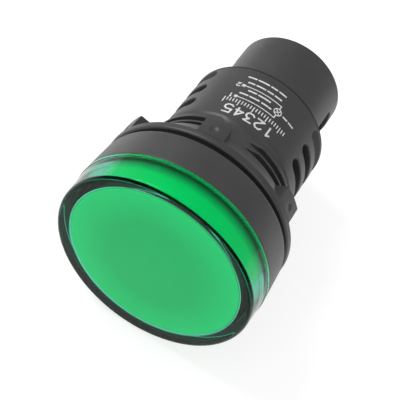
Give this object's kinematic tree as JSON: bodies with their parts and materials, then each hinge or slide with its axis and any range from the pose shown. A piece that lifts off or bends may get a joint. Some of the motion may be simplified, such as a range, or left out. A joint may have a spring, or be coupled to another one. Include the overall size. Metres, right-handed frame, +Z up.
{
  "type": "panel pilot light",
  "caption": "Round green pilot light with a glossy lens, flanged black housing, lugged plastic nut, cooling vents and screw terminals in an open tail.",
  "frame": {"origin": "on the axis at the back face of the bezel, where the gasket and the panel bear", "axes": "+Y along the axis from the lens towards the tail, +Z up, +X across"},
  "size_m": [0.04, 0.0577, 0.04],
  "materials": {
    "lens_plastic": "polished clear green plastic",
    "diffuser_plastic": "frosted green plastic",
    "housing_plastic": "satin black moulded plastic",
    "nut_plastic": "satin black moulded plastic",
    "rubber": "matt black rubber",
    "circuit_board": "green lacquered board",
    "lamp_board": "white lacquered board",
    "lamp_epoxy": "clear green epoxy",
    "red_plastic": "glossy dipped plastic",
    "blue_sleeve": "shrunk plastic sleeve",
    "black_epoxy": "matt moulded epoxy",
    "resistor_lacquer": "lacquered ceramic",
    "base_plastic": "satin black moulded plastic",
    "gilt_pin": "plated pin",
    "terminal_brass": "nickel-plated brass",
    "plated_steel": "zinc-plated steel",
    "red_insulation": "soft insulation",
    "grey_insulation": "soft insulation"
  },
  "bodies": {
    "housing": {"housing": "housing_plastic", "lens": "lens_plastic", "diffuser": "diffuser_plastic", "lens_seal": "rubber", "gasket": "rubber", "led_board": "lamp_board", "led_lamps": "lamp_epoxy", "driver_board": "circuit_board", "board_pins": "gilt_pin", "film_capacitor": "red_plastic", "electrolytic_capacitor": "blue_sleeve", "bridge_rectifier": "black_epoxy", "resistors": "resistor_lacquer", "terminal_base": "base_plastic", "terminal_plate_1": "terminal_brass", "terminal_plate_2": "terminal_brass", "lead_wire_1": "red_insulation", "lead_wire_2": "grey_insulation"},
    "nut": {"mounting_nut": "nut_plastic"},
    "washer_1": {"clamp_washer_1": "plated_steel"},
    "washer_2": {"clamp_washer_2": "plated_steel"},
    "screw_1": {"terminal_screw_1": "plated_steel"},
    "screw_2": {"terminal_screw_2": "plated_steel"}
  },
  "joints": [
    {"name": "nut_travel", "type": "slide", "parent": "housing", "child": "nut", "axis": [0, 1, 0], "range_m": [0, 0.0445]},
    {"name": "washer_1_lift", "type": "slide", "parent": "housing", "child": "washer_1", "axis": [0, 1, 0], "range_m": [0, 0.0015]},
    {"name": "screw_1_turn", "type": "hinge", "parent": "washer_1", "child": "screw_1", "pos_m": [-0.0047, 0.0353, 0], "axis": [0, 1, 0], "range_deg": [0, 1081]},
    {"name": "washer_2_lift", "type": "slide", "parent": "housing", "child": "washer_2", "axis": [0, 1, 0], "range_m": [0, 0.0015]},
    {"name": "screw_2_turn", "type": "hinge", "parent": "washer_2", "child": "screw_2", "pos_m": [0.0047, 0.0353, 0], "axis": [0, 1, 0], "range_deg": [0, 1081]}
  ],
  "couplings": [
    {"joint": "screw_1_turn", "follows": "washer_1_lift", "rad_per_m": 12566},
    {"joint": "screw_2_turn", "follows": "washer_2_lift", "rad_per_m": 12566}
  ]
}
